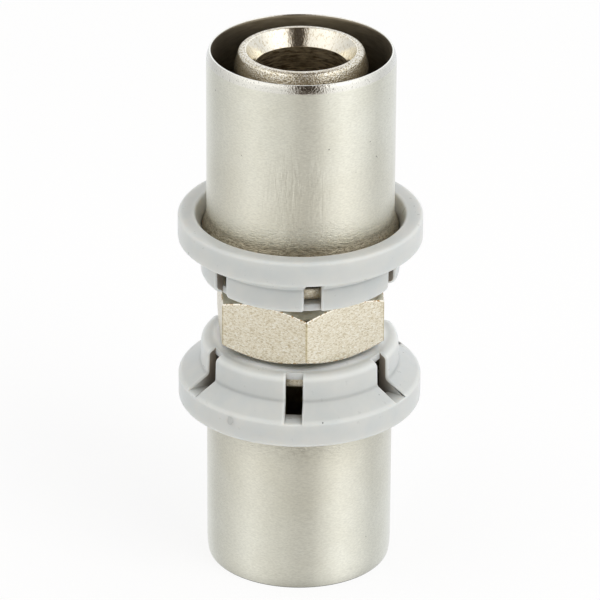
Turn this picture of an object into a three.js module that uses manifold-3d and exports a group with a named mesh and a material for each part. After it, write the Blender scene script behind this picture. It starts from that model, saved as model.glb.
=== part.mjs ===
// A straight press-fit coupling for 20 x 2 mm multilayer pipe, standing on its lower end.
//
// A nickel-plated brass body has a hexagon in the middle and a barbed insert at each end.
// Each insert carries two O-rings. A plastic retaining ring clips into a groove beside the
// hexagon and turns there. It holds a stainless press sleeve by the sleeve's flared end.
// The pipe is pushed over the insert, inside the sleeve, until it meets the stop face that
// shows through the ring's windows. The sleeve is then pressed onto the pipe.
//
// The origin is the middle of the lower end, +Z runs along the waterway, units are millimetres.
// Profiles are lists of [radius, height], with the height measured from the middle plane.

import * as THREE from 'three';
import { mergeVertices } from 'three/addons/utils/BufferGeometryUtils.js';
import Module from 'manifold-3d';

const wasm = await Module();
wasm.setup();

// ---- Driving dimensions ----
const PIPE_RADIUS = 10;
const PIPE_WALL = 2;
const LENGTH = 66.6;
const HALF_LENGTH = LENGTH / 2;
const SEGMENTS = 40;
const MERGE_DISTANCE = 1e-4;

// Brass body: hexagon
const ACROSS_FLATS = 19.5;
const CORNER_RADIUS = ACROSS_FLATS / Math.sqrt(3);
const HEX_HALF_HEIGHT = 3.6;
const HEX_FACE_RADIUS = 9.65; // where the chamfer on the corners starts
const HEX_CHAMFER_DEGREES = 30;
const HEX_CORE_RADIUS = 7.5; // inside the neck, so that the hexagon and the turned core join
const CHAMFER_REACH = 0.1; // how far the chamfering profile runs past the corners
const CHAMFER_CLEAR = 1; // how far it runs past the hexagon's two ends

// Brass body: neck groove, stop shoulder and insert
const NECK_RADIUS = 8.3;
const SHOULDER_RADIUS = 9.8;
const SHOULDER_BACK = 5.1;
const STOP_FACE = 6.6;
const INSERT_RADIUS = PIPE_RADIUS - PIPE_WALL;
const ROOT_RADIUS = 7.75;
const BARB_ROOT_RADIUS = 7.35;
const BARB_PITCH = 1.7;
const BARB_COUNT = 2; // teeth in each of the three groups
const BARB_BACK = 0.3; // slope into the first tooth of each group
const GROOVE_RADIUS = 6.65;
const GROOVE_WIDTH = 2.2;
const BORE_RADIUS = 5.5;
const MOUTH_RADIUS = 6.6;
const MOUTH_DEPTH = 2.0;
const NOSE_RADIUS = 7.45;
const NOSE_LENGTH = 2.0;

// Heights along the insert, from the stop face towards the nose
const INNER_BARBS = 11.6;
const INNER_GROOVE = 15.2;
const MIDDLE_BARBS = 18.8;
const OUTER_GROOVE = 23.6;
const OUTER_BARBS = 27.2;

// O-rings
const O_RING_SECTION_RADIUS = 0.8;
const O_RING_RADIUS = 7.5;
const O_RING_SIDES = 8;

// Plastic retaining ring
const RING_FACE = 4.15;
const LIP_INNER_RADIUS = 8.5;
const LIP_OUTER_RADIUS = 10.9;
const LIP_THICKNESS = 0.85;
const RING_INNER_RADIUS = 10.85;
const COLLAR_RADIUS = 12.0;
const COLLAR_CHAMFER = [0.8, 0.4];
const CONE_START = 7.4;
const CONE_END = 8.85;
const CONE_END_RADIUS = 14.4;
const FLANGE_RADIUS = 14.76;
const FLANGE_START = 9.2;
const FLANGE_END = 12.2;
const FLANGE_MOUTH_RADIUS = 12.72;
const EDGE = 0.25;
const SEAT_RADIUS = 11.95;
const SEAT_HEIGHT = 9.6;
const SEAT_TOP = 10.7; // where the bore starts to widen towards the mouth

// Windows through the retaining ring
const WINDOW_COUNT = 6;
const WINDOW_WIDTH = 2.06;
const WINDOW_TOP = 9.12; // floor of the slot in the cone
const WINDOW_CLEAR = 1.5; // how far a cutter runs past the wall that it cuts
const CUTTER_STEP = 0.07; // keeps a cutter just inside the wall that it ends at
const UPPER_RING_TURN = THREE.MathUtils.degToRad(3.2); // where each ring has been left by hand
const LOWER_RING_TURN = THREE.MathUtils.degToRad(-7.2);

// Stainless press sleeve
const SLEEVE_CLEARANCE = 0.7; // between the sleeve and the pipe, before it is pressed
const SLEEVE_INNER_RADIUS = PIPE_RADIUS + SLEEVE_CLEARANCE;
const SLEEVE_WALL = 0.6;
const SLEEVE_RADIUS = SLEEVE_INNER_RADIUS + SLEEVE_WALL;
const SLEEVE_END = 9.7;
const FLARE_STEP = 0.55;
const FLARE_TOP = 10.6;
const FLARE_BLEND = 1.5;
const RIM_EDGE = [0.25, 0.5]; // chamfer outside the free end, across and along
const RIM_LEAD = [0.1, 0.35]; // lead-in inside it

// ---- Materials ----
const MATERIALS = {
  nickelledBrass: { color: 0xc9bfa6, roughness: 0.35, metalness: 1.0 },
  stainless: { color: 0xcfccc0, roughness: 0.32, metalness: 1.0 },
  greyPlastic: { color: 0xc4c7c5, roughness: 0.45, metalness: 0.0 },
  blackRubber: { color: 0x161616, roughness: 0.7, metalness: 0.0 },
};

// ---- Helpers ----

function solidOf(geometry) {
  const bare = geometry.clone();
  bare.deleteAttribute('normal');
  bare.deleteAttribute('uv');
  const merged = mergeVertices(bare, MERGE_DISTANCE);
  return new wasm.Manifold(
    new wasm.Mesh({
      numProp: 3,
      vertProperties: merged.attributes.position.array,
      triVerts: new Uint32Array(merged.index.array),
    }),
  );
}

function geometryOf(solid) {
  const { vertProperties, triVerts } = solid.getMesh();
  return new THREE.BufferGeometry()
    .setAttribute('position', new THREE.BufferAttribute(vertProperties, 3))
    .setIndex(new THREE.BufferAttribute(triVerts, 1));
}

// Turns a closed profile about Z. The profile runs up its outside and down its inside.
function turned(profile) {
  const closed = [...profile, profile[0]];
  const points = closed.map(([radius, height]) => new THREE.Vector2(radius, height));
  return new THREE.LatheGeometry(points, SEGMENTS).rotateX(Math.PI / 2);
}

function mirrored(profile) {
  return profile.map(([radius, height]) => [radius, -height]).reverse();
}

function namedMesh(name, geometry, material) {
  const mesh = new THREE.Mesh(geometry, new THREE.MeshStandardMaterial(MATERIALS[material]));
  mesh.name = name;
  return mesh;
}

// ---- Brass body ----

// Saw teeth that let a pipe slide on and hold it against being pulled off.
function barbs(start) {
  const teeth = [];
  for (let i = 0; i < BARB_COUNT; i += 1) {
    const height = start + i * BARB_PITCH;
    teeth.push([BARB_ROOT_RADIUS, height], [INSERT_RADIUS, height]);
  }
  const end = start + BARB_COUNT * BARB_PITCH;
  return [...teeth, [BARB_ROOT_RADIUS, end], [INSERT_RADIUS, end]];
}

function oRingGroove(start) {
  const end = start + GROOVE_WIDTH;
  return [
    [INSERT_RADIUS, start],
    [GROOVE_RADIUS, start],
    [GROOVE_RADIUS, end],
    [INSERT_RADIUS, end],
  ];
}

// The outside of one end, from the neck beside the hexagon to the nose.
function insertOutline() {
  return [
    [NECK_RADIUS, SHOULDER_BACK],
    [SHOULDER_RADIUS, SHOULDER_BACK],
    [SHOULDER_RADIUS, STOP_FACE],
    [ROOT_RADIUS, STOP_FACE],
    [ROOT_RADIUS, INNER_BARBS - BARB_BACK],
    ...barbs(INNER_BARBS),
    ...oRingGroove(INNER_GROOVE),
    [INSERT_RADIUS, MIDDLE_BARBS - BARB_BACK],
    ...barbs(MIDDLE_BARBS),
    ...oRingGroove(OUTER_GROOVE),
    [INSERT_RADIUS, OUTER_BARBS - BARB_BACK],
    ...barbs(OUTER_BARBS),
    [INSERT_RADIUS, HALF_LENGTH - NOSE_LENGTH],
    [NOSE_RADIUS, HALF_LENGTH],
  ];
}

function hexagon() {
  const chamferRise =
    (CORNER_RADIUS - ACROSS_FLATS / 2) * Math.tan(THREE.MathUtils.degToRad(HEX_CHAMFER_DEGREES));
  const blank = new THREE.CylinderGeometry(
    CORNER_RADIUS,
    CORNER_RADIUS,
    2 * HEX_HALF_HEIGHT,
    6,
  ).rotateX(Math.PI / 2);
  const upper = [
    [CORNER_RADIUS + CHAMFER_REACH, HEX_HALF_HEIGHT - chamferRise],
    [HEX_FACE_RADIUS, HEX_HALF_HEIGHT],
    [HEX_FACE_RADIUS, HEX_HALF_HEIGHT + CHAMFER_CLEAR],
    [HEX_CORE_RADIUS, HEX_HALF_HEIGHT + CHAMFER_CLEAR],
  ];
  const chamfered = turned([...mirrored(upper), ...upper]);
  return solidOf(blank).intersect(solidOf(chamfered));
}

function couplingBody() {
  const outside = insertOutline();
  const mouth = [
    [MOUTH_RADIUS, HALF_LENGTH],
    [BORE_RADIUS, HALF_LENGTH - MOUTH_DEPTH],
  ];
  const core = turned([...mirrored(outside), ...outside, ...mouth, ...mirrored(mouth)]);
  const body = solidOf(core).add(hexagon());
  const mesh = namedMesh('coupling_body', geometryOf(body), 'nickelledBrass');
  mesh.position.z = HALF_LENGTH;
  return mesh;
}

// ---- Pieces of one end ----

function oRing(name, grooveStart) {
  const geometry = new THREE.TorusGeometry(
    O_RING_RADIUS,
    O_RING_SECTION_RADIUS,
    O_RING_SIDES,
    SEGMENTS,
  );
  const mesh = namedMesh(name, geometry, 'blackRubber');
  mesh.position.z = grooveStart + GROOVE_WIDTH / 2;
  return mesh;
}

// One window: a slot down the outside of the collar, as far in as the lip, and behind it an
// opening right through the collar's wall, from the lip to the sleeve's end.
function windowCutter(angle) {
  const reach = FLANGE_RADIUS + WINDOW_CLEAR;
  const slotBottom = RING_FACE - WINDOW_CLEAR;
  const slot = new THREE.BoxGeometry(WINDOW_WIDTH, reach - LIP_OUTER_RADIUS, WINDOW_TOP - slotBottom);
  slot.translate(0, -(reach + LIP_OUTER_RADIUS) / 2, (WINDOW_TOP + slotBottom) / 2);
  const innerReach = RING_INNER_RADIUS - WINDOW_CLEAR;
  const outerReach = SEAT_RADIUS - CUTTER_STEP;
  const openingBottom = RING_FACE + LIP_THICKNESS + CUTTER_STEP;
  const openingTop = SEAT_HEIGHT + CUTTER_STEP;
  const opening = new THREE.BoxGeometry(
    WINDOW_WIDTH,
    outerReach - innerReach,
    openingTop - openingBottom,
  );
  opening.translate(0, -(outerReach + innerReach) / 2, (openingTop + openingBottom) / 2);
  return solidOf(slot).add(solidOf(opening)).rotate([0, 0, THREE.MathUtils.radToDeg(angle)]);
}

function retainingRing(name, turn) {
  const lipFace = RING_FACE + LIP_THICKNESS;
  let ring = solidOf(
    turned([
      [LIP_INNER_RADIUS, RING_FACE],
      [COLLAR_RADIUS - COLLAR_CHAMFER[0], RING_FACE],
      [COLLAR_RADIUS, RING_FACE + COLLAR_CHAMFER[1]],
      [COLLAR_RADIUS, CONE_START],
      [CONE_END_RADIUS, CONE_END],
      [FLANGE_RADIUS, FLANGE_START],
      [FLANGE_RADIUS, FLANGE_END - EDGE],
      [FLANGE_RADIUS - EDGE, FLANGE_END],
      [FLANGE_MOUTH_RADIUS + EDGE, FLANGE_END],
      [FLANGE_MOUTH_RADIUS, FLANGE_END - EDGE],
      [SEAT_RADIUS, SEAT_TOP],
      [SEAT_RADIUS, SEAT_HEIGHT],
      [RING_INNER_RADIUS, SEAT_HEIGHT],
      [RING_INNER_RADIUS, lipFace],
      [LIP_INNER_RADIUS, lipFace],
    ]),
  );
  for (let i = 0; i < WINDOW_COUNT; i += 1) {
    ring = ring.subtract(windowCutter((i * 2 * Math.PI) / WINDOW_COUNT));
  }
  const mesh = namedMesh(name, geometryOf(ring), 'greyPlastic');
  mesh.rotation.z = turn;
  return mesh;
}

function pressSleeve(name) {
  const flareRadius = SLEEVE_RADIUS + FLARE_STEP;
  const outside = [
    [flareRadius, SLEEVE_END],
    [flareRadius, FLARE_TOP],
    [SLEEVE_RADIUS, FLARE_TOP + FLARE_BLEND],
    [SLEEVE_RADIUS, HALF_LENGTH - RIM_EDGE[1]],
    [SLEEVE_RADIUS - RIM_EDGE[0], HALF_LENGTH],
  ];
  const inside = [
    [SLEEVE_INNER_RADIUS + RIM_LEAD[0], HALF_LENGTH],
    [SLEEVE_INNER_RADIUS, HALF_LENGTH - RIM_LEAD[1]],
    [SLEEVE_INNER_RADIUS, FLARE_TOP + FLARE_BLEND],
    [flareRadius - SLEEVE_WALL, FLARE_TOP],
    [flareRadius - SLEEVE_WALL, SLEEVE_END],
  ];
  return namedMesh(name, turned([...outside, ...inside]), 'stainless');
}

// Ring, sleeve and O-rings of one end. The lower end is the upper one turned over.
function endPieces(side, ringTurn) {
  const isLower = side === 'lower';
  const end = new THREE.Group();
  end.add(oRing(`${side}_inner_o_ring`, INNER_GROOVE));
  end.add(oRing(`${side}_outer_o_ring`, OUTER_GROOVE));
  end.add(retainingRing(`${side}_retaining_ring`, isLower ? -ringTurn : ringTurn));
  end.add(pressSleeve(`${side}_press_sleeve`));
  end.position.z = HALF_LENGTH;
  end.rotation.x = isLower ? Math.PI : 0;
  return end;
}

const coupling = new THREE.Group();
coupling.add(couplingBody());
coupling.add(endPieces('upper', UPPER_RING_TURN));
coupling.add(endPieces('lower', LOWER_RING_TURN));

export default coupling;
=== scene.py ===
"""A straight press-fit coupling for 20 x 2 mm pipe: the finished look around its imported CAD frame.

Each CAD piece is replaced by a finer mesh with rounded edges in the same place. Lengths are in
millimetres up to the point where a mesh or a light is made, and in metres after it. Profiles are
lists of [radius, height], with the height measured from the coupling's middle plane.
"""

import math
import bmesh
import bpy
import numpy as np
from mathutils import Matrix, Vector


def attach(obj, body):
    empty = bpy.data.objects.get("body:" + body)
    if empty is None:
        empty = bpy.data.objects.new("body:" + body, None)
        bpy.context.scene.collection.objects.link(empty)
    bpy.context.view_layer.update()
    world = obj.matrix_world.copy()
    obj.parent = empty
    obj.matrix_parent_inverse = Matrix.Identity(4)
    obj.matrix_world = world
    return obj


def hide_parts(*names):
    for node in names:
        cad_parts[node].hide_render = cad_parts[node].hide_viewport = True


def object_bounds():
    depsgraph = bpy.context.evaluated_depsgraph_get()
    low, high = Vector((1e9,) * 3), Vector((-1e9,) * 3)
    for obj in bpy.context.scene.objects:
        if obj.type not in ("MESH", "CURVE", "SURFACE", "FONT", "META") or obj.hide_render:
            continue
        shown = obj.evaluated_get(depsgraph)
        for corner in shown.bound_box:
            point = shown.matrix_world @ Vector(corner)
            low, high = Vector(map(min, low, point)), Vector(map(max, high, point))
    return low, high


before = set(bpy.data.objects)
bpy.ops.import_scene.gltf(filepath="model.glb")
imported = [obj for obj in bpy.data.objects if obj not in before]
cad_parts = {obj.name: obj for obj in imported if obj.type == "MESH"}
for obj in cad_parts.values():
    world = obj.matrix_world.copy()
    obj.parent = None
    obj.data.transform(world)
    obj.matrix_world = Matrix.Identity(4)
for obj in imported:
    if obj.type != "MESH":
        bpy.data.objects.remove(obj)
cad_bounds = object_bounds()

MM = 0.001
LOW, HIGH = (np.array(corner) / MM for corner in cad_bounds)
MIDDLE = (LOW[2] + HIGH[2]) / 2
HALF_LENGTH = (HIGH[2] - LOW[2]) / 2

# ---- Sizes of the brass body, the same as in the CAD model ----
ACROSS_FLATS = 19.5
HEX_HALF_HEIGHT = 3.6
HEX_FACE_RADIUS = 9.65
HEX_CHAMFER_DEGREES = 30
NECK_RADIUS = 8.3
SHOULDER_RADIUS = 9.8
SHOULDER_BACK = 5.1
STOP_FACE = 6.6
INSERT_RADIUS = 8.0
ROOT_RADIUS = 7.75
BARB_ROOT_RADIUS = 7.35
BARB_PITCH = 1.7
BARB_BACK = 0.3
BARB_COUNT = 2
GROOVE_RADIUS = 6.65
GROOVE_WIDTH = 2.2
INNER_BARBS = 11.6
INNER_GROOVE = 15.2
MIDDLE_BARBS = 18.8
OUTER_GROOVE = 23.6
OUTER_BARBS = 27.2
BORE_RADIUS = 5.5
MOUTH_RADIUS = 6.6
MOUTH_DEPTH = 2.0
NOSE_RADIUS = 7.45
NOSE_LENGTH = 2.0

O_RING_SECTION = 0.8
O_RING_RADIUS = 7.5

# ---- Sizes of a retaining ring ----
RING_FACE = 4.15
RING_FACE_RADIUS = 11.2
LIP_TOP = 5.0
LIP_INNER_RADIUS = 8.5
LIP_OUTER_RADIUS = 10.9
RING_INNER_RADIUS = 10.85
COLLAR_START = 4.55
COLLAR_END = 7.4
COLLAR_RADIUS = 12.0
COLLAR_DRAFT = 0.06
CONE_END_RADIUS = 14.4
CONE_END = 8.85
SLOT_RADIUS = 14.678
FLANGE_START = 9.2
FLANGE_END = 12.2
FLANGE_RADIUS = 14.76
FLANGE_INNER_RADIUS = 12.72
FUNNEL_END = 10.6
SEAT_RADIUS = 11.95
SEAT_HEIGHT = 9.6
WINDOW_COUNT = 6
WINDOW_HALF_WIDTH = 1.03
WINDOW_FLOOR = 9.12
UPPER_RING_TURN = math.radians(3.2)
LOWER_RING_TURN = math.radians(-7.2)

# ---- Sizes of a press sleeve ----
SLEEVE_RADIUS = 11.3
SLEEVE_WALL = 0.6
SLEEVE_END = 9.7
FLARE_STEP = 0.55
FLARE_STRAIGHT = 0.9
FLARE_LENGTH = 2.4
# The free end, as corners of [depth from the outside, distance back from the end, rounding].
# The upper one is broken by hand, and the lower one only curls in a little where it was cut.
UPPER_RIM = [[0, 1.0, 1.6], [0.16, 0.35, 1.0], [0.34, 0, 0.06]]
LOWER_RIM = [[0, 2.0, 14.0], [0.05, 0.8, 9.0], [0.15, 0.12, 0.12], [0.21, 0, 0.03]]
RIM_LEAD = (0.12, 0.4)  # the lead-in inside it: across and along

# ---- How finely the meshes are cut ----
COLUMNS = 288
ARC_STEPS = 4
RIM_STEPS = 8
O_RING_STEPS = 28
MERGE_DISTANCE = 1e-7
SHARP_DEGREES = 32

EVEN = (1, 1, 1)  # the scale of a texture that isn't stretched

# Places of the Mix node's colour sockets among its inputs and outputs
MIX_COLOUR_INPUTS = (0, 6, 7)
MIX_COLOUR_OUTPUT = 2


# ---- Mesh helpers ----


def arced(corners, steps=ARC_STEPS):
    """Points along corners of (radius, height, rounding), with an arc at each rounded corner."""
    points = []
    for i, (radius, height, rounding) in enumerate(corners):
        here = np.array((radius, height), float)
        if rounding == 0:
            points.append(here)
            continue
        before = np.array(corners[i - 1][:2]) - here
        after = np.array(corners[(i + 1) % len(corners)][:2]) - here
        before /= np.linalg.norm(before)
        after /= np.linalg.norm(after)
        half = math.acos(np.clip(before @ after, -1, 1)) / 2
        middle = (before + after) / np.linalg.norm(before + after)
        centre = here + middle * rounding / math.sin(half)
        start = here + before * rounding / math.tan(half) - centre
        end = here + after * rounding / math.tan(half) - centre
        first = math.atan2(start[1], start[0])
        turn = (math.atan2(end[1], end[0]) - first + math.pi) % (2 * math.pi) - math.pi
        for step in range(steps + 1):
            angle = first + turn * step / steps
            points.append(centre + rounding * np.array((math.cos(angle), math.sin(angle))))
    return np.array(points)


def mirrored(outline):
    """The outline turned over, still running the same way round."""
    return [[radius, -height, *rest] for radius, height, *rest in outline][::-1]


def placed(points, lower):
    """Points of one end in the frame's metres, from millimetres above the middle plane.

    The lower end is turned over.
    """
    points = np.array(points, float)
    if lower:
        points = points * (1, -1, -1)
    return (points + (0, 0, MIDDLE)) * MM


def new_object(name, vertices, faces, materials, material_of_face=None):
    """A smooth-shaded piece, with coinciding vertices joined. Material_of_face holds numbers."""
    mesh = bpy.data.meshes.new(name)
    mesh.from_pydata([tuple(v) for v in vertices], [], faces)
    for material in materials:
        mesh.materials.append(material)
    if material_of_face is not None:
        mesh.polygons.foreach_set("material_index", np.array(material_of_face, np.int32))
    work = bmesh.new()
    work.from_mesh(mesh)
    bmesh.ops.remove_doubles(work, verts=work.verts, dist=MERGE_DISTANCE)
    work.to_mesh(mesh)
    work.free()
    mesh.validate()
    mesh.shade_smooth()
    mesh.set_sharp_from_angle(angle=math.radians(SHARP_DEGREES))
    piece = bpy.data.objects.new(name, mesh)
    bpy.context.scene.collection.objects.link(piece)
    return piece


def grid_faces(columns, rows, wrap_columns, wrap_rows, first=0):
    """Faces of a grid of vertices numbered column by column."""
    faces = []
    for i in range(columns if wrap_columns else columns - 1):
        for j in range(rows if wrap_rows else rows - 1):
            a = first + i * rows + j
            b = first + ((i + 1) % columns) * rows + j
            c = first + ((i + 1) % columns) * rows + (j + 1) % rows
            d = first + i * rows + (j + 1) % rows
            faces.append((a, b, c, d))
    return faces


def around(outline, angles):
    """A point of the outline at each angle. Angle 0 is towards -Y and grows towards +X."""
    outline = np.asarray(outline)
    radius, height = outline[..., 0], outline[..., 1]
    return np.stack([radius * np.sin(angles), -radius * np.cos(angles), height], axis=-1)


def turned(outline):
    """Vertices and faces of a closed outline turned about the axis."""
    angles = np.linspace(0, 2 * math.pi, COLUMNS, endpoint=False)
    columns = [around(outline, angle) for angle in angles]
    return np.concatenate(columns), grid_faces(COLUMNS, len(outline), True, True)


def direction(azimuth, elevation):
    """A unit vector. Azimuth 0 is towards -Y and grows towards +X."""
    across = math.cos(elevation)
    return Vector((math.sin(azimuth) * across, -math.cos(azimuth) * across, math.sin(elevation)))


def settle(piece, body, node):
    """Rides the piece on its body, in place of the CAD node, which it hides."""
    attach(piece, body)
    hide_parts(node)


# ---- Node helpers ----


def new_material(name):
    material = bpy.data.materials.new(name)
    material.use_nodes = True
    tree = material.node_tree
    shader = tree.nodes["Principled BSDF"]
    return material, tree, shader


def add_node(tree, kind, **settings):
    node = tree.nodes.new(kind)
    for name, value in settings.items():
        setattr(node, name, value)
    return node


def object_position(tree, scale=EVEN):
    """Position on the piece in metres, multiplied by scale along X, Y and Z."""
    place = add_node(tree, "ShaderNodeTexCoord")
    mapping = add_node(tree, "ShaderNodeMapping")
    mapping.inputs["Scale"].default_value = scale
    tree.links.new(place.outputs["Object"], mapping.inputs["Vector"])
    return mapping.outputs["Vector"]


def noise(tree, position, scale, detail, fineness, distortion=0.0):
    """Noise whose largest features are 1/scale metres across. Fineness weighs its small ones."""
    texture = add_node(tree, "ShaderNodeTexNoise")
    texture.inputs["Scale"].default_value = scale
    texture.inputs["Detail"].default_value = detail
    texture.inputs["Roughness"].default_value = fineness
    texture.inputs["Distortion"].default_value = distortion
    tree.links.new(position, texture.inputs["Vector"])
    return texture.outputs["Fac"]


def ramp(tree, source, stops):
    """A colour ramp. Stops are (position, value or colour)."""
    node = add_node(tree, "ShaderNodeValToRGB")
    elements = node.color_ramp.elements
    while len(elements) < len(stops):
        elements.new(0.5)
    for element, (position, value) in zip(elements, stops):
        element.position = position
        colour = (value, value, value) if isinstance(value, (int, float)) else value
        element.color = (*colour, 1)
    tree.links.new(source, node.inputs["Fac"])
    return node.outputs["Color"]


def math_node(tree, operation, *operands):
    node = add_node(tree, "ShaderNodeMath", operation=operation)
    for socket, value in zip(node.inputs, operands):
        if isinstance(value, (int, float)):
            socket.default_value = value
        else:
            tree.links.new(value, socket)
    return node.outputs["Value"]


def mixed(tree, blend, factor, a, b):
    """Colour a blended with colour b. The factor and the colours are sockets or values."""
    node = add_node(tree, "ShaderNodeMix", data_type="RGBA", blend_type=blend)
    factor_socket, a_socket, b_socket = (node.inputs[i] for i in MIX_COLOUR_INPUTS)
    for socket, value in ((factor_socket, factor), (a_socket, a), (b_socket, b)):
        if isinstance(value, (int, float)):
            socket.default_value = value
        elif isinstance(value, tuple):
            socket.default_value = (*value, 1)
        else:
            tree.links.new(value, socket)
    return node.outputs[MIX_COLOUR_OUTPUT]


def height_from_middle(tree):
    """Distance from the coupling's middle plane, in millimetres."""
    split = add_node(tree, "ShaderNodeSeparateXYZ")
    tree.links.new(object_position(tree), split.inputs["Vector"])
    height = math_node(tree, "MULTIPLY_ADD", split.outputs["Z"], 1 / MM, -MIDDLE)
    return math_node(tree, "ABSOLUTE", height)


def distance_from_axis(tree):
    """Distance from the coupling's axis, in millimetres."""
    length = add_node(tree, "ShaderNodeVectorMath", operation="LENGTH")
    flat = object_position(tree, (1 / MM, 1 / MM, 0))
    tree.links.new(flat, length.inputs[0])
    return length.outputs["Value"]


def share_between(tree, value, start, end):
    """0 where the value is at start, 1 where it is at end, and clamped beyond."""
    node = add_node(tree, "ShaderNodeMapRange", interpolation_type="SMOOTHSTEP")
    tree.links.new(value, node.inputs["Value"])
    node.inputs["From Min"].default_value = start
    node.inputs["From Max"].default_value = end
    return node.outputs["Result"]


def add_bumps(tree, shader, layers):
    """Chains bump nodes. Each layer is (height, depth in metres)."""
    normal = None
    for height, depth in layers:
        bump = add_node(tree, "ShaderNodeBump")
        bump.inputs["Strength"].default_value = 1.0
        bump.inputs["Distance"].default_value = depth
        tree.links.new(height, bump.inputs["Height"])
        if normal is not None:
            tree.links.new(normal, bump.inputs["Normal"])
        normal = bump.outputs["Normal"]
    tree.links.new(normal, shader.inputs["Normal"])


# ---- Materials ----


def metal(name, roughness):
    material, tree, shader = new_material(name)
    shader.inputs["Metallic"].default_value = 1.0
    shader.inputs["Roughness"].default_value = roughness
    return material, tree, shader


def grained_metal(name, roughness, tints, depth, stretch=EVEN, **grain):
    """A metal with one grain, which changes its colour and stands out in bumps of that depth."""
    material, tree, shader = metal(name, roughness)
    pattern = noise(tree, object_position(tree, stretch), **grain)
    tree.links.new(ramp(tree, pattern, tints), shader.inputs["Base Color"])
    add_bumps(tree, shader, [(pattern, depth)])
    return material


# Where the sleeve's surface changes towards its flare: heights where a change begins and is full.
# The brown there is partly painted shade and painted reflection, and the last darkening is painted
# shade.
SLEEVE_DARKER_LOW = (30, 13)
FLARE_CRINKLED = (18.0, 11.5)
FLARE_BROWN_AND_PAINTED_SHADE = (14.6, 10.9)
FLARE_PAINTED_SHADE = (12.9, 12.0)
CRINKLE_ELSEWHERE = 0.08
CHATTER_PLACE = (-2.5, -11.0, 53.5)  # on the front of the upper sleeve
CHATTER_REACH = 7.5


def stainless_tint(tree, height, speckle):
    """The sleeve's colour: faintly cloudy and brushed, with pits, a little darker towards the ring,
    and a brown flare that is partly painted shade and painted reflection, ending in painted shade.
    """
    place = object_position(tree)
    clouds = noise(tree, place, 200, 3, 0.5)
    tint = ramp(tree, clouds, [(0.3, (0.805, 0.795, 0.69)), (0.7, (0.85, 0.845, 0.75))])
    brushed = noise(tree, object_position(tree, (1, 1, 2.6)), 2700, 2, 0.6)
    tint = mixed(tree, "MULTIPLY", 1.0, tint, ramp(tree, brushed, [(0.3, 0.91), (0.7, 1.07)]))
    pits = ramp(tree, noise(tree, place, 1500, 1, 0.5), [(0.185, 0.3), (0.22, 1.0)])
    tint = mixed(tree, "MULTIPLY", 1.0, tint, pits)
    # The sleeve is made a little darker and warmer towards the ring.
    darker_low = share_between(tree, height, *SLEEVE_DARKER_LOW)
    tint = mixed(tree, "MULTIPLY", darker_low, tint, (0.95, 0.935, 0.915))
    # Brown speckle over the flare: its crinkled skin, partly painted shade and painted reflection of
    # the ring's shaded mouth.
    brown_and_painted_shade = ramp(tree, speckle, [(0.28, (0.28, 0.23, 0.17)), (0.60, (0.96, 0.90, 0.78))])
    tint = mixed(tree, "MULTIPLY", share_between(tree, height, *FLARE_BROWN_AND_PAINTED_SHADE), tint, brown_and_painted_shade)
    # Painted shade where the flare goes down into the ring.
    flare_painted_shade = share_between(tree, height, *FLARE_PAINTED_SHADE)
    return mixed(tree, "MULTIPLY", flare_painted_shade, tint, (0.72, 0.70, 0.68))


def stainless_material():
    """Drawn stainless tube: satin, finely brushed, with a chatter patch and a crinkled flare."""
    material, tree, shader = metal("stainless_satin", 0.29)
    shader.inputs["Anisotropic"].default_value = 0.65
    shader.inputs["Anisotropic Rotation"].default_value = 0.25
    tangent = add_node(tree, "ShaderNodeTangent", direction_type="RADIAL", axis="Z")
    tree.links.new(tangent.outputs["Tangent"], shader.inputs["Tangent"])
    height = height_from_middle(tree)
    speckle = noise(tree, object_position(tree, (0.6, 0.6, 2.0)), 3400, 2, 0.6, 0.8)
    tree.links.new(stainless_tint(tree, height, speckle), shader.inputs["Base Color"])
    place = object_position(tree)
    waves = noise(tree, place, 130, 2, 0.5)
    turning = noise(tree, object_position(tree, (1, 1, 14)), 420, 3, 0.6)
    from_patch = add_node(tree, "ShaderNodeVectorMath", operation="DISTANCE")
    tree.links.new(place, from_patch.inputs[0])
    from_patch.inputs[1].default_value = Vector(CHATTER_PLACE) * MM
    patch = share_between(tree, from_patch.outputs["Value"], CHATTER_REACH * MM, 0)
    ripples = noise(tree, object_position(tree, (1, 1, 0.2)), 2400, 1, 0.5, 0.6)
    chatter = math_node(tree, "MULTIPLY", ripples, patch)
    crinkled = share_between(tree, height, *FLARE_CRINKLED)
    crinkled = math_node(tree, "ADD", crinkled, CRINKLE_ELSEWHERE)
    peel = math_node(tree, "MULTIPLY", speckle, crinkled)
    bumps = [(waves, 120e-6), (turning, 6e-6), (chatter, 90e-6), (peel, 100e-6)]
    add_bumps(tree, shader, bumps)
    return material


def rim_material():
    """The cut edge of the sleeve: broken by hand and left rough."""
    return grained_metal(
        "stainless_rim",
        roughness=0.13,
        tints=[(0.28, (0.56, 0.55, 0.50)), (0.42, (0.84, 0.83, 0.77))],
        depth=34e-6,
        scale=4400,
        detail=2,
        fineness=0.6,
    )


def sleeve_inside_material():
    """The inside of the sleeve, left as drawn: brown-grey, with marks around it."""
    return grained_metal(
        "stainless_inside",
        roughness=0.42,
        tints=[(0.3, (0.30, 0.26, 0.195)), (0.7, (0.42, 0.37, 0.29))],
        depth=8e-6,
        stretch=(1, 1, 8),
        scale=500,
        detail=4,
        fineness=0.6,
    )


def blasted_brass_material():
    """Nickel over shot-blasted brass: pale gold, with a crinkled grain that sparkles."""
    return grained_metal(
        "nickelled_brass_blasted",
        roughness=0.34,
        tints=[
            (0.28, (0.54, 0.46, 0.31)),
            (0.48, (0.80, 0.735, 0.58)),
            (0.70, (0.93, 0.90, 0.80)),
        ],
        depth=46e-6,
        stretch=(0.6, 0.6, 1.2),
        scale=5600,
        detail=1.5,
        fineness=0.5,
        distortion=0.8,
    )


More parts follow.
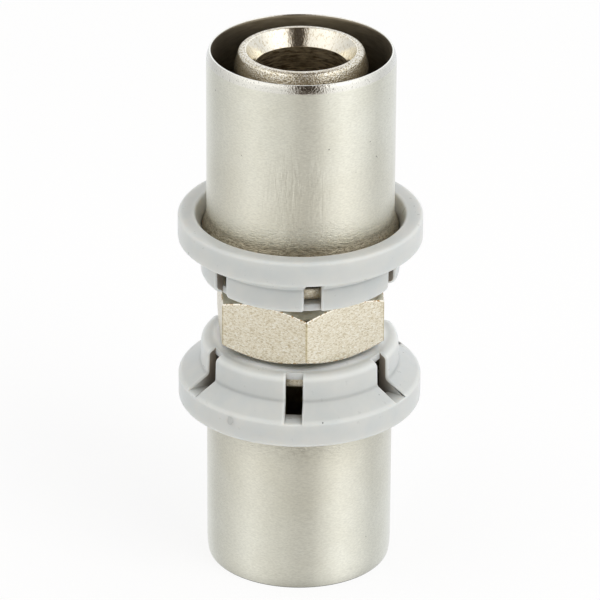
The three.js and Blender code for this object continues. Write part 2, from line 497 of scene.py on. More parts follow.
def worn_edge_material():
    """The hexagon's chamfer edges, where the nickel is polished thin and chipped."""
    return grained_metal(
        "nickelled_brass_edge",
        roughness=0.25,
        tints=[(0.40, (0.50, 0.32, 0.13)), (0.50, (0.98, 0.94, 0.84))],
        depth=20e-6,
        scale=2600,
        detail=3,
        fineness=0.7,
    )


def corner_brass_material():
    """The hexagon's upright corners: thin nickel, with the brass showing olive-brown."""
    return grained_metal(
        "nickelled_brass_corner",
        roughness=0.35,
        tints=[(0.35, (0.44, 0.36, 0.20)), (0.6, (0.74, 0.66, 0.46))],
        depth=20e-6,
        scale=2600,
        detail=3,
        fineness=0.7,
    )


def bore_material():
    """The turned bore: brown brass with rings left by the tool."""
    return grained_metal(
        "brass_bore",
        roughness=0.38,
        tints=[(0.36, (0.20, 0.145, 0.085)), (0.64, (0.74, 0.65, 0.48))],
        depth=26e-6,
        stretch=(0.8, 0.8, 5),
        scale=900,
        detail=3,
        fineness=0.65,
    )


def mouth_brass_material():
    """The countersunk mouth: bright nickel, lightly speckled."""
    return grained_metal(
        "nickelled_brass_mouth",
        roughness=0.15,
        tints=[(0.3, (0.70, 0.61, 0.44)), (0.47, (0.92, 0.877, 0.765))],
        depth=20e-6,
        stretch=(1, 1, 0.5),
        scale=3800,
        detail=2,
        fineness=0.6,
    )


def turned_brass_material():
    """Nickel over turned brass, with fine lines around it from the tool. Its dark olive-grey is
    painted shade, for the chamfers in the shade under the rings.
    """
    material, tree, shader = metal("nickelled_brass_turned_painted_shade", 0.2)
    clouds = noise(tree, object_position(tree), 1400, 3, 0.65)
    # Painted shade: the olive-grey is kept dark for the chamfers under the rings.
    tint = ramp(tree, clouds, [(0.3, (0.40, 0.37, 0.27)), (0.7, (0.56, 0.53, 0.43))])
    tree.links.new(tint, shader.inputs["Base Color"])
    lines = noise(tree, object_position(tree, (1, 1, 40)), 380, 3, 0.6)
    add_bumps(tree, shader, [(lines, 6e-6)])
    return material


NOSE_TINTS = [
    (0.29, (0.20, 0.155, 0.095)),
    (0.44, (0.78, 0.70, 0.53)),
    (0.62, (1.0, 0.98, 0.90)),
]
NOSE_END = (HALF_LENGTH - 0.3, HALF_LENGTH - 0.05)  # heights where it turns into the end face
NOSE_END_TINT = (0.81, 0.81, 0.81)


def nose_brass_material():
    """The nose of the insert: thin nickel over a pitted orange peel, duller on its end face."""
    material, tree, shader = metal("nickelled_brass_nose", 0.24)
    peel = noise(tree, object_position(tree), 5400, 2, 0.6)
    on_end = share_between(tree, height_from_middle(tree), *NOSE_END)
    tint = mixed(tree, "MULTIPLY", on_end, ramp(tree, peel, NOSE_TINTS), NOSE_END_TINT)
    tree.links.new(tint, shader.inputs["Base Color"])
    add_bumps(tree, shader, [(peel, 56e-6)])
    return material


# Painted light and shade round the ring, each as (radius, height, reach in millimetres, change of
# tone). The face under the hexagon is painted paler against the hexagon's shadow, the rounded edges
# get painted highlights, and the valley and the flange's end face get painted shade.
RING_PAINTED_LIGHT = [
    (9.8, RING_FACE, 1.1, 0.8),  # the face towards the hexagon, painted paler against the hexagon's shadow
    (11.80, 4.5, 0.60, 0.16),  # the collar's edge, painted highlight
    (12.05, 7.35, 0.45, -0.12),  # the valley between collar and cone, painted shade
    (14.60, 9.0, 0.50, 0.10),  # the ridge where the cone meets the flange, painted highlight
    (14.70, 12.1, 0.45, 0.07),  # the flange's far edge, painted highlight
    (12.80, 12.05, 0.45, 0.12),  # the funnel's edge, painted highlight
    (13.75, FLANGE_END, 1.00, -0.04),  # the flange's end face, painted shade
]
WINDOW_PAINTED_SHADE = (14.2, 10.8)  # radii where the brown painted shade in the windows begins and is full


def painted_ring_light(tree):
    """A factor near 1 that paints light and shade on the ring's edges and faces, from the distance
    to each of them.
    """
    radius = distance_from_axis(tree)
    height = height_from_middle(tree)
    here = add_node(tree, "ShaderNodeCombineXYZ")
    tree.links.new(radius, here.inputs["X"])
    tree.links.new(height, here.inputs["Y"])
    painted_tone = 1.0
    for edge_radius, edge_height, reach, change in RING_PAINTED_LIGHT:
        distance = add_node(tree, "ShaderNodeVectorMath", operation="DISTANCE")
        tree.links.new(here.outputs["Vector"], distance.inputs[0])
        distance.inputs[1].default_value = (edge_radius, edge_height, 0)
        near = share_between(tree, distance.outputs["Value"], reach, 0)
        painted_tone = math_node(tree, "MULTIPLY_ADD", near, change, painted_tone)
    return painted_tone


def plastic_tint(tree):
    """The moulded plastic's colour: light cool grey, faintly cloudy, with a few dark specks."""
    place = object_position(tree)
    clouds = noise(tree, place, 240, 3, 0.6)
    tint = ramp(tree, clouds, [(0.3, (0.572, 0.596, 0.588)), (0.7, (0.63, 0.636, 0.61))])
    specks = ramp(tree, noise(tree, place, 1300, 1, 0.5), [(0.165, 0.3), (0.195, 1.0)])
    return mixed(tree, "MULTIPLY", 1.0, tint, specks)


def plastic(name, painted_tone=1.0, painted_shade_tint=None, grain_depth=6e-6, translucence=0.7):
    """The moulded plastic's satin skin, with painted light and shade on its edges and faces. Tone is
    painted highlight or shade over all of it, and the depth tint is brown painted shade deep in the
    windows.
    """
    material, tree, shader = new_material(name)
    # Painted highlight or painted shade over all of it.
    tint = mixed(tree, "MULTIPLY", 1.0, plastic_tint(tree), (painted_tone, painted_tone, painted_tone))
    # Painted light and shade round the ring's edges and faces.
    tint = mixed(tree, "MULTIPLY", 1.0, tint, painted_ring_light(tree))
    if painted_shade_tint:
        # Painted shade: brown, growing towards the axis inside the windows.
        depth = share_between(tree, distance_from_axis(tree), *WINDOW_PAINTED_SHADE)
        tint = mixed(tree, "MULTIPLY", depth, tint, painted_shade_tint)
    tree.links.new(tint, shader.inputs["Base Color"])
    shader.inputs["Subsurface Weight"].default_value = translucence
    shader.inputs["Subsurface Radius"].default_value = (1.0, 0.9, 0.8)
    shader.inputs["Subsurface Scale"].default_value = 2.2 * MM
    place = object_position(tree)
    rough = ramp(tree, noise(tree, place, 900, 3, 0.6), [(0.3, 0.27), (0.7, 0.37)])
    tree.links.new(rough, shader.inputs["Roughness"])
    waves = noise(tree, place, 260, 2, 0.5)
    grain = noise(tree, place, 3200, 2, 0.6)
    add_bumps(tree, shader, [(waves, 25e-6), (grain, grain_depth)])
    return material


def rubber_material():
    """Black EPDM, lightly greased."""
    material, tree, shader = new_material("black_rubber")
    place = object_position(tree)
    clouds = noise(tree, place, 900, 3, 0.6)
    tint = ramp(tree, clouds, [(0.3, (0.012, 0.012, 0.013)), (0.7, (0.03, 0.03, 0.03))])
    tree.links.new(tint, shader.inputs["Base Color"])
    rough = ramp(tree, clouds, [(0.3, 0.4), (0.7, 0.55)])
    tree.links.new(rough, shader.inputs["Roughness"])
    add_bumps(tree, shader, [(noise(tree, place, 5000, 2, 0.6), 4e-6)])
    return material


# ---- Brass body ----


def barbs(start, stem_radius=INSERT_RADIUS):
    """Saw teeth, each steep towards the stop face and sloping towards the nose."""
    teeth = [[stem_radius, start - BARB_BACK, 0.1]]
    for i in range(BARB_COUNT):
        height = start + i * BARB_PITCH
        teeth += [[BARB_ROOT_RADIUS, height, 0.1], [INSERT_RADIUS, height, 0.06]]
    end = start + BARB_COUNT * BARB_PITCH
    return teeth + [[BARB_ROOT_RADIUS, end, 0.1], [INSERT_RADIUS, end, 0.08]]


def o_ring_groove(start):
    end = start + GROOVE_WIDTH
    return [
        [INSERT_RADIUS, start, 0.1],
        [GROOVE_RADIUS, start, 0.15],
        [GROOVE_RADIUS, end, 0.15],
        [INSERT_RADIUS, end, 0.1],
    ]


def insert_corners():
    """One end from the neck beside the hexagon to the nose."""
    return [
        [NECK_RADIUS, HEX_HALF_HEIGHT, 0.12],
        [NECK_RADIUS, SHOULDER_BACK, 0.12],
        [SHOULDER_RADIUS, SHOULDER_BACK, 0.15],
        [SHOULDER_RADIUS, STOP_FACE, 0.25],
        [ROOT_RADIUS, STOP_FACE, 0.2],
        *barbs(INNER_BARBS, ROOT_RADIUS),
        *o_ring_groove(INNER_GROOVE),
        *barbs(MIDDLE_BARBS),
        *o_ring_groove(OUTER_GROOVE),
        *barbs(OUTER_BARBS),
        [INSERT_RADIUS, HALF_LENGTH - NOSE_LENGTH, 0.9],
        [NOSE_RADIUS, HALF_LENGTH, 0.5],
        [MOUTH_RADIUS, HALF_LENGTH, 0.15],
        [BORE_RADIUS, HALF_LENGTH - MOUTH_DEPTH, 0.15],
    ]


CORNER_SPAN = 0.022  # radians from the middle of a corner to where it is surely flat
CORNER_COLUMNS = 11
FLAT_COLUMNS = 46
HEX_CORNER_ROUNDING = 0.16
HEX_EDGE_ROUNDING = 0.22


def angle_from_corner(angle):
    """The angle between a direction and the hexagon's nearest corner."""
    return abs((angle + math.pi / 6) % (math.pi / 3) - math.pi / 6)


def hexagon_radius(angle):
    """Distance from the axis to the hexagon's side, with slightly rounded corners."""
    rounding = HEX_CORNER_ROUNDING
    from_corner = angle_from_corner(angle)
    corner_centre = (ACROSS_FLATS / 2 - rounding) / math.cos(math.pi / 6)
    tangent = math.atan2(
        rounding * math.sin(math.pi / 6),
        corner_centre + rounding * math.cos(math.pi / 6),
    )
    if from_corner < tangent:
        across = corner_centre * math.sin(from_corner)
        return corner_centre * math.cos(from_corner) + math.sqrt(rounding**2 - across**2)
    return ACROSS_FLATS / 2 / math.cos(math.pi / 6 - from_corner)


def hexagon_angles():
    """Angles all round, close together at the corners."""
    flats = np.linspace(CORNER_SPAN, math.pi / 3 - CORNER_SPAN, FLAT_COLUMNS)
    corner = np.linspace(-CORNER_SPAN, CORNER_SPAN, CORNER_COLUMNS + 2)[1:-1]
    sector = np.sort(np.concatenate([corner, flats]))
    return np.concatenate([sector + i * math.pi / 3 for i in range(6)])


def chamfer_edge(side):
    """Height of the hexagon's chamfer where its side is at that distance from the axis."""
    slope = math.tan(math.radians(HEX_CHAMFER_DEGREES))
    return HEX_HALF_HEIGHT - (side - HEX_FACE_RADIUS) * slope


def body_corners(angle):
    """The body's whole section at an angle, from one mouth over the hexagon to the other."""
    side = hexagon_radius(angle)
    upper = [
        [side, chamfer_edge(side), HEX_EDGE_ROUNDING],
        [HEX_FACE_RADIUS, HEX_HALF_HEIGHT, 0.03],
        *insert_corners(),
    ]
    return [*mirrored(upper), *upper]


# Where the body's finishes meet. Each limit lies a little past the surface that it belongs to.
HEX_TOP = HEX_HALF_HEIGHT + 0.01
HEX_INSIDE = NECK_RADIUS + 0.3
SHOULDER_START = SHOULDER_BACK - 0.05
SHOULDER_TOP = STOP_FACE + 0.05
SHOULDER_INSIDE = SHOULDER_RADIUS - 0.4
BORE_OUTSIDE = BORE_RADIUS + 0.05
NOSE_START = HALF_LENGTH - NOSE_LENGTH - 0.6
MOUTH_OUTSIDE = MOUTH_RADIUS + 0.1
UPRIGHT_RISE = 0.05  # below it a face counts as upright
CHAMFER_RISE = 0.84  # below it a face belongs to the chamfer's rounded edge


def body_finish(centre, normal):
    """Which of the body's materials a face has, from its centre in millimetres and its normal."""
    radius = math.hypot(centre[0], centre[1])
    height = abs(centre[2] - MIDDLE)
    rise = abs(normal[2])
    if height < HEX_TOP and radius > HEX_INSIDE:
        if rise < UPRIGHT_RISE:
            from_corner = angle_from_corner(math.atan2(centre[0], -centre[1]))
            return "corner" if from_corner < CORNER_SPAN / 2 else "blasted"
        return "edge" if rise < CHAMFER_RISE else "turned"
    if SHOULDER_START < height < SHOULDER_TOP and radius > SHOULDER_INSIDE:
        return "blasted"
    if radius < BORE_OUTSIDE:
        return "bore"
    if height > NOSE_START:
        return "mouth" if radius < MOUTH_OUTSIDE else "nose"
    return "turned"


def make_body(finishes):
    """The brass body. Finishes maps the names that body_finish gives to materials."""
    angles = hexagon_angles()
    columns = [around(arced(body_corners(angle)), angle) for angle in angles]
    vertices = placed(np.concatenate(columns), False)
    faces = grid_faces(len(angles), len(columns[0]), True, True)
    corners = vertices[np.array(faces)] / MM
    centres = corners.mean(axis=1)
    normals = np.cross(corners[:, 2] - corners[:, 0], corners[:, 3] - corners[:, 1])
    normals /= np.linalg.norm(normals, axis=1, keepdims=True)
    numbers = {name: i for i, name in enumerate(finishes)}
    indices = [numbers[body_finish(c, n)] for c, n in zip(centres, normals)]
    piece = new_object("coupling_body_finish", vertices, faces, list(finishes.values()), indices)
    settle(piece, "fitting", "coupling_body")


# ---- Seals ----


def make_o_ring(name, lower, groove, material):
    """An O-ring in the middle of its groove, riding on the brass body."""
    angles = np.linspace(0, 2 * math.pi, O_RING_STEPS, endpoint=False)
    middle = groove + GROOVE_WIDTH / 2
    outline = [
        (O_RING_RADIUS + O_RING_SECTION * math.cos(a), middle + O_RING_SECTION * math.sin(a))
        for a in angles
    ]
    vertices, faces = turned(outline)
    piece = new_object(name + "_finish", placed(vertices, lower), faces, [material])
    settle(piece, "fitting", name)


# ---- Retaining ring ----

PLAIN, WINDOW, EDGE = range(3)  # the ring's materials, by number: plain, with brown painted shade in the windows, and painted lighter along them as a highlight
EDGE_ROUNDING = 0.3
EDGE_STEPS = 4
WALL_COLUMNS = 26
WINDOW_COLUMNS = 6


def ring_outlines():
    """The ring's section in the stretches that meet where a window cuts it."""
    lip_corner = [LIP_OUTER_RADIUS, RING_FACE, 0]
    slot_corner = [SLOT_RADIUS, WINDOW_FLOOR, 0]
    seat_outer = [SEAT_RADIUS, SEAT_HEIGHT, 0]
    wall_top = [RING_INNER_RADIUS, LIP_TOP, 0]
    stretches = {
        "outside": [
            lip_corner,
            [RING_FACE_RADIUS, RING_FACE, 0.8],
            [COLLAR_RADIUS, COLLAR_START, 0.8],
            [COLLAR_RADIUS + COLLAR_DRAFT, COLLAR_END, 0.35],
            [CONE_END_RADIUS, CONE_END, 1.5],
            slot_corner,
        ],
        "flange": [
            slot_corner,
            [FLANGE_RADIUS, FLANGE_START, 0.22],
            [FLANGE_RADIUS, FLANGE_END, 0.4],
            [FLANGE_INNER_RADIUS, FLANGE_END, 0.4],
            [SEAT_RADIUS, FUNNEL_END, 0.5],
            seat_outer,
        ],
        "seat": [seat_outer, [RING_INNER_RADIUS, SEAT_HEIGHT, 0.1], wall_top],
        "lip": [
            wall_top,
            [LIP_INNER_RADIUS, LIP_TOP, 0.1],
            [LIP_INNER_RADIUS, RING_FACE, 0.1],
            lip_corner,
        ],
        "lip_edge": [lip_corner, [LIP_OUTER_RADIUS, LIP_TOP, 0.03], wall_top],
        "slot_floor": [slot_corner, [SEAT_RADIUS, WINDOW_FLOOR, 0.12], seat_outer],
    }
    return {name: arced(corners) for name, corners in stretches.items()}


def inset(outline, depth):
    """The outline moved into the material by depth, less and less towards its two ends."""
    ahead = np.gradient(outline, axis=0)
    ahead /= np.linalg.norm(ahead, axis=1, keepdims=True)
    inward = np.stack([-ahead[:, 1], ahead[:, 0]], axis=1)
    along = np.concatenate([[0], np.cumsum(np.linalg.norm(np.diff(outline, axis=0), axis=1))])
    fade = np.clip(np.minimum(along, along[-1] - along) / EDGE_ROUNDING, 0, 1)
    return outline + inward * depth * fade[:, None]


def ring_column(outline, side_distance, share):
    """An outline between two windows: share 0 is at one window's wall, 1 at the next one's.

    The walls are parallel to the window's middle plane, side_distance away from it.
    """
    radius = outline[:, 0]
    edge = np.arcsin(side_distance / radius)
    angles = edge + share * (2 * math.pi / WINDOW_COUNT - 2 * edge)
    return around(outline, angles)


def joined(parts):
    """Stretches of outline joined into a loop, without repeating the shared end points."""
    return np.concatenate([part[:-1] for part in parts])


def wall_block(part):
    """Columns of the wall between two windows, with rounded edges along both."""
    loops = []
    for tilt in np.linspace(0, math.pi / 2, EDGE_STEPS + 1):
        distance = WINDOW_HALF_WIDTH + EDGE_ROUNDING * (1 - math.cos(tilt))
        outside = inset(part["outside"], EDGE_ROUNDING * (1 - math.sin(tilt)))
        loop = joined([outside, part["flange"], part["seat"], part["lip"]])
        loops.append((loop, distance))
    inner_loop, inner_distance = loops[-1]
    block = [ring_column(loop, distance, 0.0) for loop, distance in loops]
    for share in np.linspace(0, 1, WALL_COLUMNS)[1:-1]:
        block.append(ring_column(inner_loop, inner_distance, share))
    return block + [ring_column(loop, distance, 1.0) for loop, distance in reversed(loops)]


def window_columns(loop):
    """Columns of a loop across one window."""
    offsets = np.linspace(-WINDOW_HALF_WIDTH, WINDOW_HALF_WIDTH, WINDOW_COLUMNS + 1)
    return [around(loop, np.arcsin(offset / loop[:, 0])) for offset in offsets]


def ring_mesh():
    """Vertices, faces and finishes of the ring.

    It has a block of wall between two windows, and the lip and the flange across each window.
    """
    part = ring_outlines()
    block = wall_block(part)
    deepest = inset(part["outside"], EDGE_ROUNDING)
    cap = joined([deepest, part["slot_floor"], part["seat"], part["lip_edge"][::-1]])
    lip_loop = joined([part["lip_edge"], part["lip"]])
    flange_loop = joined([part["flange"], part["slot_floor"][::-1]])
    outside_rows = len(part["outside"]) - 1
    flange_rows = len(part["flange"]) - 1
    vertices = []
    faces = []
    finishes = []

    def add_grid(columns, turn, finish_at):
        """Adds a turned grid of faces. Finish_at gives a face's finish from its column and row."""
        rows = len(columns[0])
        faces.extend(grid_faces(len(columns), rows, False, True, len(vertices)))
        finishes.extend(finish_at(i, j) for i in range(len(columns) - 1) for j in range(rows))
        for column in columns:
            vertices.extend(column @ turn)

    def add_cap(share, turn):
        """Adds the flat side of a wall block, at the window's wall of that share."""
        start = len(vertices)
        vertices.extend(ring_column(cap, WINDOW_HALF_WIDTH, share) @ turn)
        numbers = list(range(start, len(vertices)))
        faces.append(numbers if share else numbers[::-1])
        finishes.append(WINDOW)

    def block_finish(column, row):
        at_side = min(column, len(block) - 2 - column) < EDGE_STEPS
        return EDGE if at_side and row < outside_rows else PLAIN

    def lip_finish(column, row):
        return PLAIN

    def flange_finish(column, row):
        return PLAIN if row < flange_rows else WINDOW

    for number in range(WINDOW_COUNT):
        turn = np.array(Matrix.Rotation(number * 2 * math.pi / WINDOW_COUNT, 3, "Z")).T
        add_grid(block, turn, block_finish)
        add_cap(0.0, turn)
        add_cap(1.0, turn)
        add_grid(window_columns(lip_loop), turn, lip_finish)
        add_grid(window_columns(flange_loop), turn, flange_finish)
    return np.array(vertices), faces, finishes


def make_ring(name, body, lower, ring_turn, materials):
    """A retaining ring. Its materials are those of PLAIN, WINDOW and EDGE faces."""
    vertices, faces, finishes = ring_mesh()
    turn = np.array(Matrix.Rotation(-ring_turn if lower else ring_turn, 3, "Z")).T
    points = placed(vertices @ turn, lower)
    piece = new_object(name + "_finish", points, faces, materials, finishes)
    settle(piece, body, name)


# The stub of the moulding gate
GATE_AZIMUTH = 211  # degrees round the ring, about midway between two windows
GATE_RADIUS = 14.68
GATE_HEIGHT = 9.88
GATE_SIZE = (0.5, 0.15, 0.62)  # half its size round the ring, outwards and along the axis
STUB_COLUMNS = 28
STUB_ROWS = 9
STUB_LOBES = [(2, 0.10, 0.6), (5, 0.07, 1.9)]  # waves round its side: count, size and phase
STUB_WAIST_LOBES = [(3, 0.10, 0.4)]  # the same for its widest part alone
CRATER_DEPTH = 0.30
CRATER_ANGLE = 0.55
STUB_TOP = -0.7


def lobes(waves, turn):
    """The sum of waves of (count, size, phase) at an angle round the stub."""
    return sum(size * math.sin(count * turn + phase) for count, size, phase in waves)


def torn_stub():
    """Vertices and faces of a lumpy closed dome with a torn hollow in its top, towards -Y.

    It is one unit in each direction.
    """
    vertices = [(0.0, 1.0, 0.0)]
    for tilt in math.pi * np.linspace(0, 1, STUB_ROWS + 1)[1:-1]:
        depth = 1 - CRATER_DEPTH * math.exp(-(((math.pi - tilt) / CRATER_ANGLE) ** 2))
        for turn in np.linspace(0, 2 * math.pi, STUB_COLUMNS, endpoint=False):
            uneven = 1 + lobes(STUB_LOBES, turn)
            waist = 1 + lobes(STUB_WAIST_LOBES, turn) * math.sin(tilt) ** 2
            across = math.sin(tilt) * uneven * waist
            place = (across * math.sin(turn), math.cos(tilt) * depth, across * math.cos(turn))
            vertices.append(place)
    vertices.append((0.0, STUB_TOP, 0.0))
    last = len(vertices) - 1
    faces = []
    for i in range(STUB_COLUMNS):
        after = (i + 1) % STUB_COLUMNS
        faces.append((0, 1 + i, 1 + after))
        for start in range(1, last - STUB_COLUMNS, STUB_COLUMNS):
            further = start + STUB_COLUMNS
            faces.append((start + i, further + i, further + after, start + after))
        faces.append((last, last - STUB_COLUMNS + after, last - STUB_COLUMNS + i))
    return np.array(vertices), faces


def make_gate_mark(name, body, lower, ring_turn, material):
    """The small torn stub that the moulding gate leaves on the flange, between two windows."""
    angle = math.radians(GATE_AZIMUTH) + (-ring_turn if lower else ring_turn)
    centre = around((GATE_RADIUS, GATE_HEIGHT), angle)
    vertices, faces = torn_stub()
    turn = np.array(Matrix.Rotation(angle, 3, "Z")).T
    vertices = (vertices * GATE_SIZE) @ turn + centre
    piece = new_object(name + "_gate_mark", placed(vertices, lower), faces, [material])
    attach(piece, body)


# ---- Press sleeve ----

OUTSIDE, INSIDE, RIM = range(3)  # the sleeve's materials, by number


def lead_in(radius):
    """Points of the elliptic lead-in at the sleeve's free end, from the end face to the bore."""
    across, along = RIM_LEAD
    angles = np.linspace(math.pi / 2, 0, RIM_STEPS + 1)
    radii = radius + across * (1 - np.cos(angles))
    heights = HALF_LENGTH - along * (1 - np.sin(angles))
    return [[r, h, 0] for r, h in zip(radii, heights)]


def sleeve_corners(rim):
    """The sleeve's section, with that rim at its free end."""
    inner = SLEEVE_RADIUS - SLEEVE_WALL
    flare = SLEEVE_RADIUS + FLARE_STEP
    return [
        [flare, SLEEVE_END, 0.12],
        [flare, SLEEVE_END + FLARE_STRAIGHT, 1.2],
        [SLEEVE_RADIUS, SLEEVE_END + FLARE_LENGTH, 2.0],
        *([SLEEVE_RADIUS - depth, HALF_LENGTH - back, rounding] for depth, back, rounding in rim),
        *lead_in(inner),
        [inner, SLEEVE_END + FLARE_LENGTH, 2.0],
        [flare - SLEEVE_WALL, SLEEVE_END + FLARE_STRAIGHT, 1.2],
        [flare - SLEEVE_WALL, SLEEVE_END, 0.1],
    ]


def make_sleeve(name, body, lower, materials):
    """A press sleeve. Its materials are those of OUTSIDE, INSIDE and RIM faces."""
    rim = LOWER_RIM if lower else UPPER_RIM
    vertices, faces = turned(arced(sleeve_corners(rim), RIM_STEPS))
    vertices = placed(vertices, lower)
    centres = vertices[np.array(faces)].mean(axis=1)
    radius = np.hypot(centres[:, 0], centres[:, 1]) / MM
    height = np.abs(centres[:, 2] / MM - MIDDLE)
    flared = np.clip(SLEEVE_END + FLARE_LENGTH - height, 0, None) / FLARE_LENGTH * FLARE_STEP
    inside = radius - flared < SLEEVE_RADIUS - SLEEVE_WALL + RIM_LEAD[0] / 2
    rough_corner = rim[-2] if lower else rim[0]
    rough = height > HALF_LENGTH - rough_corner[1]
    indices = np.where(inside, INSIDE, np.where(rough, RIM, OUTSIDE))
    piece = new_object(name + "_finish", vertices, faces, materials, indices)
    settle(piece, body, name)


# ---- Studio ----

CAMERA_DISTANCE = 614.5
CAMERA_ELEVATION = math.radians(25.77)
CAMERA_AZIMUTH = math.radians(-4.1)
CAMERA_ROLL = math.radians(0.34)
LENS = 304.35
SENSOR = 36.0
AIM_HEIGHT = 33.64

FLOOR_SIZE = 6.0
FLOOR_GLOW = 0.8

FILL_POWER = 1.75
FILL_WIDTH = 0.5
FILL_AZIMUTH = math.radians(38)
FILL_ELEVATION = math.radians(48)
FILL_DISTANCE = 0.8


def make_floor():
    """A wide pale floor, evenly lit, with a little light from below as on a light table."""
    size = FLOOR_SIZE
    mesh = bpy.data.meshes.new("floor")
    corners = [(-size, -size, 0), (size, -size, 0), (size, size, 0), (-size, size, 0)]
    mesh.from_pydata(corners, [], [(0, 1, 2, 3)])
    floor = bpy.data.objects.new("floor", mesh)
    material, _, shader = new_material("pale_floor")
    shader.inputs["Base Color"].default_value = (0.2, 0.2, 0.2, 1)
    shader.inputs["Roughness"].default_value = 1.0
    shader.inputs["Specular IOR Level"].default_value = 0.0
    shader.inputs["Emission Color"].default_value = (1, 1, 1, 1)
    shader.inputs["Emission Strength"].default_value = FLOOR_GLOW
    mesh.materials.append(material)
    bpy.context.scene.collection.objects.link(floor)
    floor.visible_glossy = False


def make_camera():
    """The camera stands in front of the corner of the hexagon, a little to its left."""
    data = bpy.data.cameras.new("camera")
    data.lens = LENS
    data.sensor_width = SENSOR
    data.clip_start = 0.01
    data.clip_end = 20.0
    camera = bpy.data.objects.new("camera", data)
    aim = Vector((0, 0, AIM_HEIGHT)) * MM
    back = direction(CAMERA_AZIMUTH, CAMERA_ELEVATION)
    camera.location = aim + back * CAMERA_DISTANCE * MM
    facing = (-back).to_track_quat("-Z", "Y").to_matrix().to_4x4()
    rolled = facing @ Matrix.Rotation(CAMERA_ROLL, 4, "Z")
    camera.rotation_euler = rolled.to_euler()
    bpy.context.scene.collection.objects.link(camera)
    bpy.context.scene.camera = camera


def make_fill_light():
    """A soft light beside the camera that fills the shade on the plastic. No metal mirrors it."""
    data = bpy.data.lights.new("fill", "AREA")
    data.shape = "DISK"
    data.size = FILL_WIDTH
    data.energy = FILL_POWER
    light = bpy.data.objects.new("fill", data)
    back = direction(FILL_AZIMUTH, FILL_ELEVATION)
    light.location = Vector((0, 0, MIDDLE * MM)) + back * FILL_DISTANCE
    light.rotation_euler = (-back).to_track_quat("-Z", "Y").to_euler()
    light.visible_glossy = False
    bpy.context.scene.collection.objects.link(light)


# Brightness of the tent by azimuth in degrees, 0 towards -Y and positive towards +X
TENT_BANDS = [
    (-180, 1.00),
    (-128, 0.63),
    (-100, 0.74),
    (-66, 0.98),
    (-30, 0.80),
    (-8, 0.73),
    (10, 0.74),
    (50, 1.17),
    (75, 0.98),
    (100, 0.70),
    (180, 1.00),
]
# Brightness of the tent by elevation in degrees
TENT_HEIGHTS = [
    (-90, 0.1),
    (-55, 0.4),
    (-34, 0.97),
    (-22, 1.02),
    (0, 1.0),
    (22, 1.18),
    (50, 1.45),
    (90, 1.65),
]
# The dark opening is a strip that runs from the front over the top, between two soft boxes. Its
# sides are sines of how far a direction leans towards +X. Its heights are degrees from the front
# over the top to the back.
OPENING_SIDES = [(-0.29, 0.0), (-0.15, 1.0), (0.28, 1.0), (0.40, 0.0)]
OPENING_HEIGHTS = [(-14, 0.0), (0, 1.0), (85, 1.0), (112, 0.96), (126, 0.85), (144, 0.0)]
OPENING_DARKNESS = 0.95
OPENING_TINT = (1.0, 0.78, 0.6)
BACKDROP_COLOUR = (0.97, 0.97, 0.97, 1)
# Colour of the tent by azimuth: warm in front and cool behind
TENT_TINTS = [
    (-180, (0.98, 1.0, 1.035)),
    (-130, (0.99, 1.0, 1.015)),
    (-100, (1.0, 0.995, 0.985)),
    (10, (1.0, 0.99, 0.965)),
    (55, (1.0, 0.997, 0.995)),
    (105, (0.99, 1.0, 1.015)),
    (150, (0.98, 1.0, 1.04)),
    (180, (0.98, 1.0, 1.035)),
]


def span_ramp(tree, value, span, stops):
    """A ramp over a value that runs from -span to +span."""
    share = math_node(tree, "MULTIPLY_ADD", value, 0.5 / span, 0.5)
    return ramp(tree, share, [(0.5 + place / 2 / span, value) for place, value in stops])


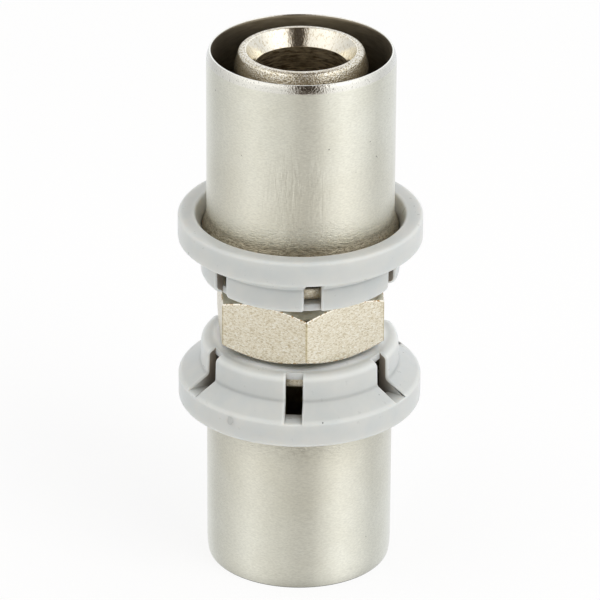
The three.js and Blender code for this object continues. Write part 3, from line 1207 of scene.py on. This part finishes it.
def make_tent():
    """A pale tent all round, with soft bands and a dark opening for the camera."""
    world = bpy.data.worlds.new("tent")
    bpy.context.scene.world = world
    world.use_nodes = True
    tree = world.node_tree
    tree.nodes.clear()
    place = add_node(tree, "ShaderNodeTexCoord")
    split = add_node(tree, "ShaderNodeSeparateXYZ")
    tree.links.new(place.outputs["Generated"], split.inputs["Vector"])
    x, up = split.outputs["X"], split.outputs["Z"]
    forward = math_node(tree, "MULTIPLY", split.outputs["Y"], -1.0)
    azimuth = math_node(tree, "DEGREES", math_node(tree, "ARCTAN2", x, forward))
    elevation = math_node(tree, "DEGREES", math_node(tree, "ARCSINE", up))
    over = math_node(tree, "DEGREES", math_node(tree, "ARCTAN2", up, forward))
    bands = span_ramp(tree, azimuth, 180, TENT_BANDS)
    heights = span_ramp(tree, elevation, 90, TENT_HEIGHTS)
    sides = span_ramp(tree, x, 1, OPENING_SIDES)
    opening = math_node(tree, "MULTIPLY", sides, span_ramp(tree, over, 180, OPENING_HEIGHTS))
    light = math_node(tree, "MULTIPLY_ADD", opening, -OPENING_DARKNESS, 1.0)
    strength = math_node(tree, "MULTIPLY", bands, math_node(tree, "MULTIPLY", heights, light))
    tent = add_node(tree, "ShaderNodeBackground")
    tree.links.new(strength, tent.inputs["Strength"])
    tints = span_ramp(tree, azimuth, 180, TENT_TINTS)
    tree.links.new(mixed(tree, "MIX", opening, tints, OPENING_TINT), tent.inputs["Color"])
    plain = add_node(tree, "ShaderNodeBackground")
    plain.inputs["Color"].default_value = BACKDROP_COLOUR
    path = add_node(tree, "ShaderNodeLightPath")
    mix = add_node(tree, "ShaderNodeMixShader")
    tree.links.new(path.outputs["Is Camera Ray"], mix.inputs["Fac"])
    tree.links.new(tent.outputs["Background"], mix.inputs[1])
    tree.links.new(plain.outputs["Background"], mix.inputs[2])
    output = add_node(tree, "ShaderNodeOutputWorld")
    tree.links.new(mix.outputs["Shader"], output.inputs["Surface"])


# ---- The whole ----

sleeve_materials = [stainless_material(), sleeve_inside_material(), rim_material()]
ring_materials = [
    plastic("grey_plastic"),
    # Brown painted shade deep in the windows.
    plastic("grey_plastic_in_windows_painted_shade", painted_shade_tint=(0.36, 0.30, 0.25)),
    # Window edges painted 8% lighter as a highlight.
    plastic("grey_plastic_at_windows_painted_highlight", painted_tone=1.08),
]
# The gate stub's plastic is painted 20% darker as shade, without translucence.
torn_plastic = plastic("grey_plastic_torn_painted_shade", painted_tone=0.80, grain_depth=60e-6, translucence=0.0)
rubber = rubber_material()
make_body(
    {
        "blasted": blasted_brass_material(),
        "turned": turned_brass_material(),
        "nose": nose_brass_material(),
        "mouth": mouth_brass_material(),
        "bore": bore_material(),
        "edge": worn_edge_material(),
        "corner": corner_brass_material(),
    }
)
for side, is_lower, ring_turn in (
    ("upper", False, UPPER_RING_TURN),
    ("lower", True, LOWER_RING_TURN),
):
    make_o_ring(f"{side}_inner_o_ring", is_lower, INNER_GROOVE, rubber)
    make_o_ring(f"{side}_outer_o_ring", is_lower, OUTER_GROOVE, rubber)
    make_ring(f"{side}_retaining_ring", f"{side}_ring", is_lower, ring_turn, ring_materials)
    make_gate_mark(f"{side}_ring", f"{side}_ring", is_lower, ring_turn, torn_plastic)
    make_sleeve(f"{side}_press_sleeve", f"{side}_sleeve", is_lower, sleeve_materials)
make_floor()
make_camera()
make_fill_light()
make_tent()
bpy.context.scene.view_settings.view_transform = "Standard"
